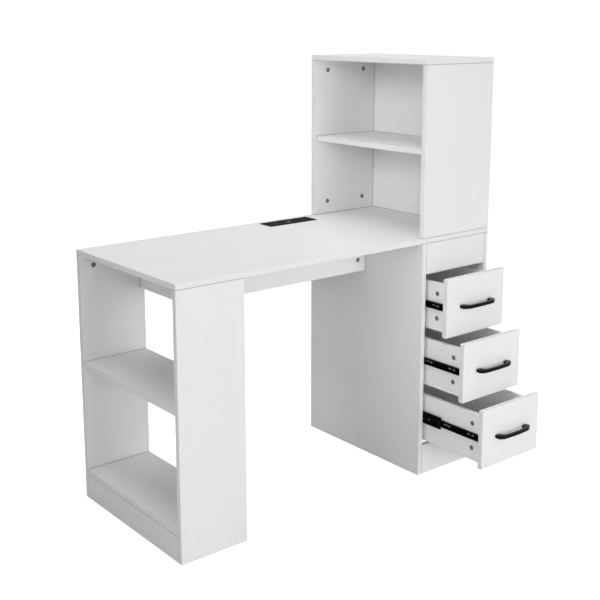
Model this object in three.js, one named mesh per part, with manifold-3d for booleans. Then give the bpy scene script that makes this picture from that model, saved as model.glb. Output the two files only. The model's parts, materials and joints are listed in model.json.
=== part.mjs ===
// Manicure table: a board desk with an open shelf unit under its left end, a cabinet with three drawers on
// telescopic slides under its right end, an open hutch above the cabinet and a power strip let into the top.
// Every board, drawer piece, slide member and power strip piece is a solid of its own. Millimetres, +Z up.
import * as THREE from 'three';
import { mergeVertices } from 'three/addons/utils/BufferGeometryUtils.js';
import Module from 'manifold-3d';

const wasm = await Module();
wasm.setup();

// ---- Driving dimensions ------------------------------------------------------------------------------

// Desk. The working frame has X from the desk's left end, Y from the cabinet's front face and Z from the
// floor.
const DESK_LENGTH = 1155;
const DESK_DEPTH = 520;
const DESK_HEIGHT = 750;
const BOARD = 16;             // laminated board
const THIN_PANEL = 4;         // hardboard backs and drawer bottoms
const EDGE_EASE = 0.8;        // chamfer on every board edge
const FIT = 0.3;              // gap left between pieces that butt
const RAIL_HEIGHT = 125;      // stretcher and top rail under the desktop
const STRETCHER_FRONT = 250;

// Left shelf unit
const LEFT_UNIT_WIDTH = 210;
const LEFT_KICK_HEIGHT = 74;

// Drawer cabinet
const CABINET_WIDTH = 290;
const CABINET_KICK_HEIGHT = 94.5;
const CABINET_RAIL_HEIGHT = 95;
const REAR_RAIL_HEIGHT = 60;
const DRAWER_COUNT = 3;
const FRONT_GAP = 1.5;        // above, below and between the drawer fronts
const FRONT_SIDE_GAP = 2;

// Hutch
const HUTCH_HEIGHT = 526;
const HUTCH_SHELF_RECESS = 10;

// Grooves that hold the thin panels
const GROOVE_DEPTH = 5;
const GROOVE_PLAY = 0.3;      // on each face of the thin panel
const BACK_INSET = 20;        // from a carcass's rear edge to its thin back

// Cam locks, which sit in blind pockets
const CAM_RADIUS = 7.5;
const CAM_SETBACK = 33;       // from the joint to the pocket's centre
const CAM_DEPTH_SHARE = 0.75; // of the board's thickness
const HUTCH_CAM_X = [57.5, 214.5];
const HUTCH_LOWER_CAM_Z = 42;
const LEFT_CAM_X = [45, 165];
const RAIL_CAM_Z = [37.5, RAIL_HEIGHT - 37.5];
const DRAWER_CAM_Z = [-39, 37];   // from the slide's centre line

// Drawer boxes
const DRAWER_BOARD = 12;
const DRAWER_SIDE_HEIGHT = 148;
const DRAWER_SIDE_LIFT = 12;      // side's lower edge above the front's lower edge
const DRAWER_GROOVE_LIFT = 8;     // bottom groove above the side's lower edge

// Telescopic slides, three nested members each
const SLIDE_LENGTH = 450;
const SLIDE_SPACE = 12.7;     // between the cabinet panel and the drawer side
const SLIDE_SETBACK = 18;     // slide's front end behind the cabinet's front face
const MEMBER_SHEET = 1.2;
const OUTER_MEMBER = { height: 45, near: 0.3, far: 10.2, lip: 1.4 };
const MIDDLE_MEMBER = { height: 36, near: 2.3, far: 10.5, lip: 3.1, lipReturn: 3.6, length: 440 };
const INNER_MEMBER = { height: 20, near: 5.5, far: 12.4 };

// How far each drawer stands open: the drawer out of its middle members, and those out of the cabinet
const DRAWER_OPEN = [
  { fromMiddle: 85, middle: 0 },
  { fromMiddle: 157, middle: 0 },
  { fromMiddle: 151, middle: 87 },
];

// Bow handles
const HANDLE_HALF_LENGTH = 70;
const HANDLE_FOOT_WIDTH = 17;
const HANDLE_HEIGHT = 10;
const HANDLE_PROJECTION = 26.5;
const HANDLE_BAR = 7.5;
const HANDLE_BOW = 2;         // the bar's middle stands this much prouder than its ends
const HANDLE_FOOT_RISE = 7;   // the foot's straight end before it sweeps into the bar
const HANDLE_EASE = 1.5;

// Power strip let into the desktop
const STRIP = { left: 628, front: 431, length: 189, width: 62, flange: 1.6, cornerRadius: 5 };
const STRIP_BODY_INSET = 3.5;
const STRIP_BODY_DEPTH = 38;
const STRIP_WALL = 2.5;
const STRIP_LEDGE = 3;
const STRIP_PLATE = 4;
const STRIP_PLATE_RECESS = 0.9;
const OUTLET_OFFSET = 26;     // from the strip's centre to each mains outlet's centre
const OUTLET_BLADE = { offset: 6.3, back: 2, width: 2.2, live: 7.5, neutral: 9 };
const OUTLET_EARTH = { radius: 2.4, front: 8 };
const PORT_INSERT = { length: 16, width: 16 };
const USB_PORT = { width: 4.9, length: 12.4, depth: 10, pitch: 7.8 };
const USB_TONGUE = { width: 1.9, length: 11, offset: 0.85, below: 1.5 };
const GLAND = { radius: 7, tip: 5, length: 22, bore: 3.2, recess: 4, collar: 3, offset: -70, drop: 26 };

// ---- Derived levels and places -----------------------------------------------------------------------

const UNDER_TOP = DESK_HEIGHT - BOARD;
const PANEL_TOP = UNDER_TOP - FIT;
const BACK_INNER = DESK_DEPTH - BOARD;
const CABINET_LEFT = DESK_LENGTH - CABINET_WIDTH;
const CABINET_INNER = [CABINET_LEFT + BOARD, DESK_LENGTH - BOARD];
const CABINET_OPENING = UNDER_TOP - CABINET_RAIL_HEIGHT - CABINET_KICK_HEIGHT;
const FRONT_HEIGHT = (CABINET_OPENING - (DRAWER_COUNT + 1) * FRONT_GAP) / DRAWER_COUNT;
const HUTCH_UNDER_TOP = DESK_HEIGHT + HUTCH_HEIGHT - BOARD;
const WIDEST_OPEN = Math.max(...DRAWER_OPEN.map(({ fromMiddle, middle }) => fromMiddle + middle));
const FRONT_REACH = WIDEST_OPEN + FIT + HANDLE_PROJECTION;

// ---- Finishes ----------------------------------------------------------------------------------------

const LAMINATE = { color: 0xeeeeec, roughness: 0.5, metalness: 0 };
const HARDBOARD = { color: 0xe2e2e0, roughness: 0.65, metalness: 0 };
const BLACK_STEEL = { color: 0x101011, roughness: 0.35, metalness: 0.7 };
const BLACK_ALLOY = { color: 0x161617, roughness: 0.4, metalness: 0.5 };
const BLACK_PLASTIC = { color: 0x141415, roughness: 0.45, metalness: 0 };
const GREY_PLASTIC = { color: 0xa8a8aa, roughness: 0.5, metalness: 0 };

// ---- Geometry helpers --------------------------------------------------------------------------------

function toManifold(geometry) {
  const bare = geometry.clone();
  bare.deleteAttribute('normal');
  bare.deleteAttribute('uv');
  const welded = mergeVertices(bare, 1e-4);
  return new wasm.Manifold(new wasm.Mesh({
    numProp: 3,
    vertProperties: welded.attributes.position.array,
    triVerts: new Uint32Array(welded.index.array),
  }));
}

function fromManifold(solid) {
  const { vertProperties, triVerts } = solid.getMesh();
  const geometry = new THREE.BufferGeometry();
  geometry.setAttribute('position', new THREE.BufferAttribute(vertProperties, 3));
  geometry.setIndex(new THREE.BufferAttribute(triVerts, 1));
  geometry.computeVertexNormals();
  return geometry;
}

function carve(geometry, cutters) {
  const whole = toManifold(geometry);
  return fromManifold(cutters.reduce((left, cutter) => left.subtract(toManifold(cutter)), whole));
}

function outline(points) {
  return new THREE.Shape(points.map(([x, y]) => new THREE.Vector2(x, y)));
}

// Extrudes an outline upward from z = 0 and eases both of its rims.
function easedExtrusion(shape, height, ease, curveSegments = 8) {
  const options = { depth: height - 2 * ease, bevelSegments: 1, curveSegments };
  const bevel = { bevelThickness: ease, bevelSize: ease, bevelOffset: -ease };
  return new THREE.ExtrudeGeometry(shape, { ...options, ...bevel }).translate(0, 0, ease);
}

function box(low, high) {
  const size = high.map((value, i) => value - low[i]);
  const middle = high.map((value, i) => (value + low[i]) / 2);
  return new THREE.BoxGeometry(...size).translate(...middle);
}

// A board between two corners, with all its edges eased and any grooves and pockets cut in it.
function board(low, high, cutters = []) {
  const [wide, deep, tall] = high.map((value, i) => value - low[i]);
  const e = EDGE_EASE;
  const rim = outline([
    [e, 0], [wide - e, 0], [wide, e], [wide, deep - e], [wide - e, deep], [e, deep], [0, deep - e], [0, e],
  ]);
  const blank = easedExtrusion(rim, tall, e).translate(...low);
  return cutters.length > 0 ? carve(blank, cutters) : blank;
}

// A cam lock's blind pocket, drilled inward from its mouth on a board's face.
function camPocket(mouth, inward, boardThickness) {
  const overrun = 1;
  const depth = CAM_DEPTH_SHARE * boardThickness;
  const along = new THREE.Vector3(...inward);
  return new THREE.CylinderGeometry(CAM_RADIUS, CAM_RADIUS, depth + overrun, 20)
    .translate(0, (depth - overrun) / 2, 0)
    .applyQuaternion(new THREE.Quaternion().setFromUnitVectors(new THREE.Vector3(0, 1, 0), along))
    .translate(...mouth);
}

function roundedRectangle(length, width, radius) {
  const shape = new THREE.Shape();
  shape.moveTo(radius, 0);
  shape.lineTo(length - radius, 0);
  shape.absarc(length - radius, radius, radius, -Math.PI / 2, 0);
  shape.lineTo(length, width - radius);
  shape.absarc(length - radius, width - radius, radius, 0, Math.PI / 2);
  shape.lineTo(radius, width);
  shape.absarc(radius, width - radius, radius, Math.PI / 2, Math.PI);
  shape.lineTo(0, radius);
  shape.absarc(radius, radius, radius, Math.PI, 1.5 * Math.PI);
  return shape;
}

function add(parent, name, geometry, finish) {
  const mesh = new THREE.Mesh(geometry, new THREE.MeshStandardMaterial(finish));
  mesh.name = name;
  parent.add(mesh);
}

// ---- Desktop, left shelf unit and stretcher ----------------------------------------------------------

function addDesktop(desk) {
  const { left, front, length, width } = STRIP;
  const play = STRIP_BODY_INSET - 1;
  const cutOut = box(
    [left + play, front + play, UNDER_TOP - 1],
    [left + length - play, front + width - play, DESK_HEIGHT + 1],
  );
  add(desk, 'desktop', board([0, 0, UNDER_TOP], [DESK_LENGTH, DESK_DEPTH, DESK_HEIGHT], [cutOut]), LAMINATE);
}

function addLeftUnit(desk) {
  const camLevel = UNDER_TOP - CAM_SETBACK;
  const frontCams = LEFT_CAM_X.map((x) => camPocket([x, BOARD, camLevel], [0, -1, 0], BOARD));
  const backCams = LEFT_CAM_X.map((x) => camPocket([x, BACK_INNER, camLevel], [0, 1, 0], BOARD));
  const inner = [BOARD + FIT, BACK_INNER - FIT];
  const bottomTop = LEFT_KICK_HEIGHT + BOARD;
  const middleLow = (bottomTop + UNDER_TOP - BOARD) / 2;
  const between = (x0, z0, x1, z1, cutters) => board([x0, inner[0], z0], [x1, inner[1], z1], cutters);
  const kneeSide = LEFT_UNIT_WIDTH - BOARD;
  const railLow = UNDER_TOP - RAIL_HEIGHT;
  const railCams = RAIL_CAM_Z.flatMap((z) => [inner[0] + CAM_SETBACK, inner[1] - CAM_SETBACK].map(
    (y) => camPocket([kneeSide, y, railLow + z], [1, 0, 0], BOARD)));

  add(desk, 'left_front_panel', board([0, 0, 0], [LEFT_UNIT_WIDTH, BOARD, PANEL_TOP], frontCams), LAMINATE);
  add(desk, 'left_back_panel',
    board([0, BACK_INNER, 0], [LEFT_UNIT_WIDTH, DESK_DEPTH, PANEL_TOP], backCams), LAMINATE);
  add(desk, 'left_bottom_shelf', between(0, LEFT_KICK_HEIGHT, LEFT_UNIT_WIDTH, bottomTop), LAMINATE);
  add(desk, 'left_middle_shelf', between(0, middleLow, LEFT_UNIT_WIDTH, middleLow + BOARD), LAMINATE);
  add(desk, 'left_outer_kickboard', between(0, 0, BOARD, LEFT_KICK_HEIGHT - FIT), LAMINATE);
  add(desk, 'left_inner_kickboard', between(kneeSide, 0, LEFT_UNIT_WIDTH, LEFT_KICK_HEIGHT - FIT), LAMINATE);
  add(desk, 'left_top_rail', between(kneeSide, railLow, LEFT_UNIT_WIDTH, PANEL_TOP, railCams), LAMINATE);
}

// The stretcher under the desktop, which ties the left unit's top rail to the cabinet.
function addStretcher(desk) {
  const low = UNDER_TOP - RAIL_HEIGHT;
  const ends = [LEFT_UNIT_WIDTH + FIT, CABINET_LEFT - FIT];
  const cams = RAIL_CAM_Z.flatMap((z) => [ends[0] + CAM_SETBACK, ends[1] - CAM_SETBACK].map(
    (x) => camPocket([x, STRETCHER_FRONT, low + z], [0, 1, 0], BOARD)));
  add(desk, 'stretcher', board(
    [ends[0], STRETCHER_FRONT, low], [ends[1], STRETCHER_FRONT + BOARD, PANEL_TOP], cams), LAMINATE);
}

// ---- Drawer cabinet ----------------------------------------------------------------------------------

function addCabinet(desk) {
  const back = [DESK_DEPTH - BACK_INSET - THIN_PANEL, DESK_DEPTH - BACK_INSET];
  const groove = (x0, x1) => box([x0, back[0] - GROOVE_PLAY, -1], [x1, back[1] + GROOVE_PLAY, UNDER_TOP]);
  const [innerLeft, innerRight] = CABINET_INNER;
  const leftGroove = groove(innerLeft - GROOVE_DEPTH - FIT, innerLeft + 1);
  const rightGroove = groove(innerRight - 1, innerRight + GROOVE_DEPTH + FIT);
  const between = (y0, z0, y1, z1) => board([innerLeft + FIT, y0, z0], [innerRight - FIT, y1, z1]);

  add(desk, 'cabinet_left_panel',
    board([CABINET_LEFT, 0, 0], [innerLeft, DESK_DEPTH, PANEL_TOP], [leftGroove]), LAMINATE);
  add(desk, 'cabinet_right_panel',
    board([innerRight, 0, 0], [DESK_LENGTH, DESK_DEPTH, PANEL_TOP], [rightGroove]), LAMINATE);
  add(desk, 'cabinet_front_rail', between(0, UNDER_TOP - CABINET_RAIL_HEIGHT, BOARD, PANEL_TOP), LAMINATE);
  add(desk, 'cabinet_kickboard', between(0, 0, BOARD, CABINET_KICK_HEIGHT), LAMINATE);
  add(desk, 'cabinet_rear_rail', between(DESK_DEPTH - BOARD, 0, DESK_DEPTH, REAR_RAIL_HEIGHT), LAMINATE);
  add(desk, 'cabinet_back_panel', board(
    [innerLeft - GROOVE_DEPTH, back[0], FIT], [innerRight + GROOVE_DEPTH, back[1], PANEL_TOP]), HARDBOARD);
}

// ---- Hutch, open towards the desk's left end ---------------------------------------------------------

function addHutch(desk) {
  const floor = DESK_HEIGHT + FIT;
  const back = [DESK_LENGTH - BACK_INSET - THIN_PANEL, DESK_LENGTH - BACK_INSET];
  const groove = (y0, y1, z0, z1) => box([back[0] - GROOVE_PLAY, y0, z0], [back[1] + GROOVE_PLAY, y1, z1]);
  const camLevels = [DESK_HEIGHT + HUTCH_LOWER_CAM_Z, HUTCH_UNDER_TOP - CAM_SETBACK];
  const cams = (y, inward) => HUTCH_CAM_X.flatMap((x) => camLevels.map(
    (z) => camPocket([CABINET_LEFT + x, y, z], [0, inward, 0], BOARD)));
  const grooveEnds = [BOARD - GROOVE_DEPTH - FIT, BACK_INNER + GROOVE_DEPTH + FIT];
  const frontGroove = groove(grooveEnds[0], BOARD + 1, DESK_HEIGHT - 1, HUTCH_UNDER_TOP + 1);
  const backGroove = groove(BACK_INNER - 1, grooveEnds[1], DESK_HEIGHT - 1, HUTCH_UNDER_TOP + 1);
  const topGroove = groove(...grooveEnds, HUTCH_UNDER_TOP - 1, HUTCH_UNDER_TOP + GROOVE_DEPTH + FIT);
  const shelfLow = (DESK_HEIGHT + HUTCH_UNDER_TOP - BOARD) / 2;
  const side = (y0, y1, cutters) => board(
    [CABINET_LEFT, y0, floor], [DESK_LENGTH, y1, HUTCH_UNDER_TOP - FIT], cutters);

  add(desk, 'hutch_front_side', side(0, BOARD, [...cams(BOARD, -1), frontGroove]), LAMINATE);
  add(desk, 'hutch_back_side', side(BACK_INNER, DESK_DEPTH, [...cams(BACK_INNER, 1), backGroove]), LAMINATE);
  add(desk, 'hutch_top', board([CABINET_LEFT, 0, HUTCH_UNDER_TOP],
    [DESK_LENGTH, DESK_DEPTH, DESK_HEIGHT + HUTCH_HEIGHT], [topGroove]), LAMINATE);
  add(desk, 'hutch_shelf', board([CABINET_LEFT + HUTCH_SHELF_RECESS, BOARD + FIT, shelfLow],
    [back[0] - FIT, BACK_INNER - FIT, shelfLow + BOARD]), LAMINATE);
  add(desk, 'hutch_back_panel', board([back[0], BOARD - GROOVE_DEPTH, floor],
    [back[1], BACK_INNER + GROOVE_DEPTH, HUTCH_UNDER_TOP + GROOVE_DEPTH]), HARDBOARD);
}

// ---- Telescopic slides -------------------------------------------------------------------------------

// Sections are drawn for the left slide: x runs from the cabinet panel to the drawer, y up from the centre
// line.
// A section is drawn for its upper half, from the centre line round to it again, and mirrored for the lower.
function mirrored(upper) {
  return [...upper, ...upper.map(([x, y]) => [x, -y]).reverse()];
}

function outerSection() {
  const { near, far, lip } = OUTER_MEMBER;
  const top = OUTER_MEMBER.height / 2;
  const s = MEMBER_SHEET;
  const lipLow = top - s - lip;
  return mirrored([
    [near + s, 0], [near + s, top - s], [far - s, top - s], [far - s, lipLow], [far, lipLow],
    [far, top - s], [far - s, top], [near + s, top], [near, top - s], [near, 0],
  ]).filter(([, y]) => y !== 0);
}

function middleSection() {
  const { near, far, lip, lipReturn } = MIDDLE_MEMBER;
  const top = MIDDLE_MEMBER.height / 2;
  const s = MEMBER_SHEET;
  const race = top - s - lip;
  const tip = far - lipReturn;
  return mirrored([
    [near + s, 0], [near + s, top - s], [far - s, top - s], [far - s, race + s], [tip, race + s],
    [tip, race], [far, race], [far, top - s], [far - s, top], [near + s, top], [near, top - s], [near, 0],
  ]).filter(([, y]) => y !== 0);
}

function innerSection() {
  const { near, far } = INNER_MEMBER;
  const top = INNER_MEMBER.height / 2;
  const s = MEMBER_SHEET;
  return mirrored([
    [far, 0], [far, top - s], [far - s, top], [near, top], [near, top - s], [far - s, top - s], [far - s, 0],
  ]).filter(([, y]) => y !== 0);
}

// One member, its section swept backwards from the slide's closed front end.
function slideMember(section, side, level, length) {
  const [wall, towardsDrawer] = side === 'left' ? [CABINET_INNER[0], 1] : [CABINET_INNER[1], -1];
  const placed = outline(section.map(([x, y]) => [wall + towardsDrawer * x, y]));
  return new THREE.ExtrudeGeometry(placed, { depth: length, bevelEnabled: false })
    .rotateX(Math.PI / 2)
    .translate(0, SLIDE_SETBACK + length, level);
}

// ---- Drawers -----------------------------------------------------------------------------------------

// The handle's outline from above: two feet swept into a bowed bar, the front towards -Y.
function handleShape() {
  const end = HANDLE_HALF_LENGTH;
  const foot = end - HANDLE_FOOT_WIDTH;
  const rise = HANDLE_FOOT_RISE;
  const outer = HANDLE_PROJECTION - HANDLE_BOW;
  const inner = outer - HANDLE_BAR;
  const outerSpring = foot - 5;
  const innerSpring = foot - 13;
  const cornerSoftness = 2;
  const shape = new THREE.Shape();
  shape.moveTo(-end, 0);
  shape.lineTo(-end, -rise);
  shape.quadraticCurveTo(1 - end, cornerSoftness - outer, -outerSpring, -outer);
  shape.quadraticCurveTo(0, -outer - 2 * HANDLE_BOW, outerSpring, -outer);
  shape.quadraticCurveTo(end - 1, cornerSoftness - outer, end, -rise);
  shape.lineTo(end, 0);
  shape.lineTo(foot, 0);
  shape.lineTo(foot, 1 - rise);
  shape.quadraticCurveTo(foot - 1, cornerSoftness - inner, innerSpring, -inner);
  shape.quadraticCurveTo(0, -inner - 2 * HANDLE_BOW, -innerSpring, -inner);
  shape.quadraticCurveTo(1 - foot, cornerSoftness - inner, -foot, 1 - rise);
  shape.lineTo(-foot, 0);
  return shape;
}

function addDrawer(desk, number, open) {
  const [innerLeft, innerRight] = CABINET_INNER;
  const low = CABINET_KICK_HEIGHT + FRONT_GAP + (DRAWER_COUNT - number) * (FRONT_HEIGHT + FRONT_GAP);
  const slideLevel = low + FRONT_HEIGHT / 2;
  const sideLow = low + DRAWER_SIDE_LIFT;
  const sideHigh = sideLow + DRAWER_SIDE_HEIGHT;
  const sideFront = BOARD + FIT;
  const sideBack = sideFront + SLIDE_LENGTH;
  const boxSides = [innerLeft + SLIDE_SPACE, innerRight - SLIDE_SPACE];
  const clear = [boxSides[0] + DRAWER_BOARD, boxSides[1] - DRAWER_BOARD];
  const bottomLow = sideLow + DRAWER_GROOVE_LIFT + GROOVE_PLAY;
  const bottomHigh = bottomLow + THIN_PANEL;
  const middleX = (innerLeft + innerRight) / 2;
  const grooveAt = (x0, x1) => box(
    [x0, sideFront - 1, bottomLow - GROOVE_PLAY], [x1, sideBack + 1, bottomHigh + GROOVE_PLAY]);
  const cams = (x, inward) => DRAWER_CAM_Z.map(
    (z) => camPocket([x, sideFront + CAM_SETBACK, slideLevel + z], [inward, 0, 0], DRAWER_BOARD));

  const drawer = new THREE.Group();
  drawer.position.y = -open.fromMiddle - open.middle;
  desk.add(drawer);
  const middles = new THREE.Group();
  middles.position.y = -open.middle;
  desk.add(middles);

  const leftCuts = [...cams(boxSides[0], 1), grooveAt(clear[0] - GROOVE_DEPTH - FIT, clear[0] + 1)];
  const rightCuts = [...cams(boxSides[1], -1), grooveAt(clear[1] - 1, clear[1] + GROOVE_DEPTH + FIT)];
  const name = (piece) => `drawer_${number}_${piece}`;
  add(drawer, name('front'), board([innerLeft + FRONT_SIDE_GAP, 0, low],
    [innerRight - FRONT_SIDE_GAP, BOARD, low + FRONT_HEIGHT]), LAMINATE);
  add(drawer, name('left_side'),
    board([boxSides[0], sideFront, sideLow], [clear[0], sideBack, sideHigh], leftCuts), LAMINATE);
  add(drawer, name('right_side'),
    board([clear[1], sideFront, sideLow], [boxSides[1], sideBack, sideHigh], rightCuts), LAMINATE);
  add(drawer, name('back'), board([clear[0] + FIT, sideBack - DRAWER_BOARD, bottomHigh + FIT],
    [clear[1] - FIT, sideBack, sideHigh]), LAMINATE);
  add(drawer, name('bottom'), board([clear[0] - GROOVE_DEPTH, sideFront, bottomLow],
    [clear[1] + GROOVE_DEPTH, sideBack, bottomHigh]), HARDBOARD);
  add(drawer, name('handle'), easedExtrusion(handleShape(), HANDLE_HEIGHT, HANDLE_EASE)
    .translate(middleX, -FIT, slideLevel - HANDLE_HEIGHT / 2), BLACK_ALLOY);

  for (const side of ['left', 'right']) {
    const slide = `slide_${number}_${side}`;
    const member = (section, length) => slideMember(section, side, slideLevel, length);
    add(desk, `${slide}_outer`, member(outerSection(), SLIDE_LENGTH), BLACK_STEEL);
    add(middles, `${slide}_middle`, member(middleSection(), MIDDLE_MEMBER.length), BLACK_STEEL);
    add(drawer, `${slide}_inner`, member(innerSection(), SLIDE_LENGTH), BLACK_STEEL);
  }
}

// ---- Power strip -------------------------------------------------------------------------------------

// A rounded block standing on level z, inset by the same amount all round from the strip's flange.
function stripBlock(inset, z, height, ease = 0) {
  const { left, front, length, width, cornerRadius } = STRIP;
  const radius = Math.max(cornerRadius - inset / 2, 1.5);
  const shape = roundedRectangle(length - 2 * inset, width - 2 * inset, radius);
  const solid = ease > 0
    ? easedExtrusion(shape, height, ease, 4)
    : new THREE.ExtrudeGeometry(shape, { depth: height, bevelEnabled: false, curveSegments: 4 });
  return solid.translate(left + inset, front + inset, z);
}

function addPowerStrip(desk) {
  const flangeLow = DESK_HEIGHT + 0.2;
  const flangeTop = flangeLow + STRIP.flange;
  const bodyLow = DESK_HEIGHT - STRIP_BODY_DEPTH;
  const plateTop = flangeTop - STRIP_PLATE_RECESS;
  const plateLow = plateTop - STRIP_PLATE;
  const wellInset = STRIP_BODY_INSET + STRIP_WALL;
  const flange = toManifold(stripBlock(0, flangeLow, STRIP.flange, 0.6));
  const body = toManifold(stripBlock(STRIP_BODY_INSET, bodyLow, flangeTop - 0.6 - bodyLow));
  const seat = toManifold(stripBlock(wellInset, plateLow - FIT, STRIP_PLATE * 2));
  const well = toManifold(stripBlock(wellInset + STRIP_LEDGE, bodyLow + STRIP_WALL, STRIP_BODY_DEPTH * 2));
  const housing = flange.add(body).subtract(seat).subtract(well);
  add(desk, 'power_strip_housing', fromManifold(housing), BLACK_PLASTIC);

  // A block about the strip's middle, its corners given from that middle and its own levels
  const centre = [STRIP.left + STRIP.length / 2, STRIP.front + STRIP.width / 2];
  const around = (x, y, length, width, low, high) => [
    [centre[0] + x - length / 2, centre[1] + y - width / 2, low],
    [centre[0] + x + length / 2, centre[1] + y + width / 2, high],
  ];
  const slot = (x, y, length, width) => box(...around(x, y, length, width, plateLow - 1, plateTop + 1));
  const earthHole = (x) => new THREE.CylinderGeometry(
    OUTLET_EARTH.radius, OUTLET_EARTH.radius, 2 * STRIP_PLATE, 16)
    .rotateX(Math.PI / 2)
    .translate(centre[0] + x, centre[1] - OUTLET_EARTH.front, (plateLow + plateTop) / 2);
  const blade = (x, length) => slot(x, OUTLET_BLADE.back, OUTLET_BLADE.width, length);
  const outlets = [-OUTLET_OFFSET, OUTLET_OFFSET].flatMap((x) => [
    blade(x - OUTLET_BLADE.offset, OUTLET_BLADE.live),
    blade(x + OUTLET_BLADE.offset, OUTLET_BLADE.neutral),
    earthHole(x),
  ]);
  const window = slot(0, 0, PORT_INSERT.length + 2 * FIT, PORT_INSERT.width + 2 * FIT);
  const plate = stripBlock(wellInset + FIT, plateLow, STRIP_PLATE, 0.4);
  add(desk, 'power_strip_faceplate', carve(plate, [...outlets, window]), BLACK_PLASTIC);

  // The port insert stands on the housing's floor and fills the faceplate's window
  const ports = [-1, 1].map((side) => {
    const x = side * USB_PORT.pitch / 2;
    const floor = plateTop - USB_PORT.depth;
    const mouth = box(...around(x, 0, USB_PORT.width, USB_PORT.length, floor, plateTop + 1));
    const { length, width, offset, below } = USB_TONGUE;
    return carve(mouth, [box(...around(x + offset, 0, width, length, floor - 1, plateTop - below))]);
  });
  const insert = around(0, 0, PORT_INSERT.length, PORT_INSERT.width, bodyLow + STRIP_WALL + FIT, plateTop);
  add(desk, 'power_strip_port_insert', board(...insert, ports), GREY_PLASTIC);

  // The cord's gland, a tapered boot on the housing's rear wall with a short blind bore in its tip
  const { radius, tip, length, bore, recess, collar, offset, drop } = GLAND;
  const profile = [
    [0, 0], [radius, 0], [radius, collar], [radius - 1, collar + 1], [tip, length], [bore, length],
    [bore, length - recess], [0, length - recess],
  ];
  const boot = new THREE.LatheGeometry(profile.map(([r, y]) => new THREE.Vector2(r, y)), 20);
  const rearWall = STRIP.front + STRIP.width - STRIP_BODY_INSET;
  boot.translate(centre[0] + offset, rearWall + FIT, DESK_HEIGHT - drop);
  add(desk, 'power_strip_gland', boot, BLACK_PLASTIC);
}

// ---- Assembly ----------------------------------------------------------------------------------------

// The finished frame's origin is the middle of the whole footprint, open drawers included, at floor level.
const table = new THREE.Group();
const desk = new THREE.Group();
desk.position.set(-DESK_LENGTH / 2, (FRONT_REACH - DESK_DEPTH) / 2, 0);
table.add(desk);

addDesktop(desk);
addLeftUnit(desk);
addStretcher(desk);
addCabinet(desk);
addHutch(desk);
DRAWER_OPEN.forEach((open, i) => addDrawer(desk, i + 1, open));
addPowerStrip(desk);

export default table;
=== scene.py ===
"""Manicure table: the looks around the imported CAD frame. Lengths are metres in the row frame."""
import json
from math import cos, pi, radians, sin

import bmesh
import bpy
from mathutils import Matrix, Vector

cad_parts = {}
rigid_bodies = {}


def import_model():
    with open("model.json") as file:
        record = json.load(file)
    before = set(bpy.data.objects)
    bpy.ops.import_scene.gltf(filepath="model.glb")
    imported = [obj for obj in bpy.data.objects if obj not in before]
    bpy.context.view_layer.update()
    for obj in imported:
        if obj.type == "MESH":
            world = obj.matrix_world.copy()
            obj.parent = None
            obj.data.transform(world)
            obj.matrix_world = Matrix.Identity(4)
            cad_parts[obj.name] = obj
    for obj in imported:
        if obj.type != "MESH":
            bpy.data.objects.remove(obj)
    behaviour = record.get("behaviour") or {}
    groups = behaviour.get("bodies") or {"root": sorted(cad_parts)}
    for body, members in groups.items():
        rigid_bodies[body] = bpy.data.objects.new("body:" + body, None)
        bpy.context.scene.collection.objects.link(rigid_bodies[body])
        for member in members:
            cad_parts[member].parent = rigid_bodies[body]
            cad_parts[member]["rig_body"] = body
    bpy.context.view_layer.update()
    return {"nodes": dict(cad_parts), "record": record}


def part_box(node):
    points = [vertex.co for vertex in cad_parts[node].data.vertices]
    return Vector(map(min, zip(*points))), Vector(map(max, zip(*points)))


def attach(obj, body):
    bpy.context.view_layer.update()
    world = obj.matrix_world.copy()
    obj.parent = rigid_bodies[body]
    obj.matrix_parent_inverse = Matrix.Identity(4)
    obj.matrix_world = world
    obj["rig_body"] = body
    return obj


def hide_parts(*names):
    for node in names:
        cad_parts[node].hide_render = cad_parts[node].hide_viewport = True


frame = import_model()
nodes = frame["nodes"]
MM = 0.001
DRAWERS = (1, 2, 3)
SIDES = ("left", "right")


# ---- Camera, light and floor -------------------------------------------------------------------------

CAMERA_PLACE = (-1.8925, -2.2299, 1.3784)
CAMERA_YAW = 39.11          # degrees from +Y towards +X
CAMERA_PITCH = 11.2         # degrees below the horizon
CAMERA_LENS = 62.18         # millimetres, as the sensor's width is
CAMERA_SENSOR = 36
CAMERA_SHIFT = -0.12
AMBIENT = 0.24              # the studio's even light from all round
BACKDROP = 1.04             # seen by the camera only, a little past white
FLOOR_REACH = 30
FLOOR_DROP = 0.5 * MM       # below the table's foot
FLOOR_GREY = 0.7
FLOOR_GLOW = 0.9            # seen by the camera only, so the floor runs into the white backdrop

# Softboxes: place, the point it faces, its sides, its power in watts and its spread in degrees. A spread
# below 180 is a softbox with a grid.
LIGHTS = {
    "front_light": ((0.3, -4.6, 0.85), (0.1, 0, 0.6), (2.6, 1.8), 84, 180),
    "top_light": ((-0.15, 0.7, 4.4), (-0.15, 0.7, 0), (3.5, 3.5), 100, 180),
    "camera_side_light": ((-2.9, -3.4, 2.6), (0, 0, 0.6), (2.6, 1.8), 32, 180),
    "back_light": ((4.4, 1.3, 1.1), (0.1, 0, 0.6), (2.6, 1.8), 30, 180),
    "hutch_light": ((-1.8, -0.5, 1.85), (0.45, 0.14, 1.06), (0.9, 0.9), 0.85, 34),
    "drawer_light": ((-2.0, -2.4, 1.25), (0.42, -0.42, 0.34), (0.5, 0.5), 0.2, 20),
    "left_light": ((-2.4, -0.7, 0.75), (-0.58, -0.1, 0.36), (0.6, 0.6), 0.26, 42),
}


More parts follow.
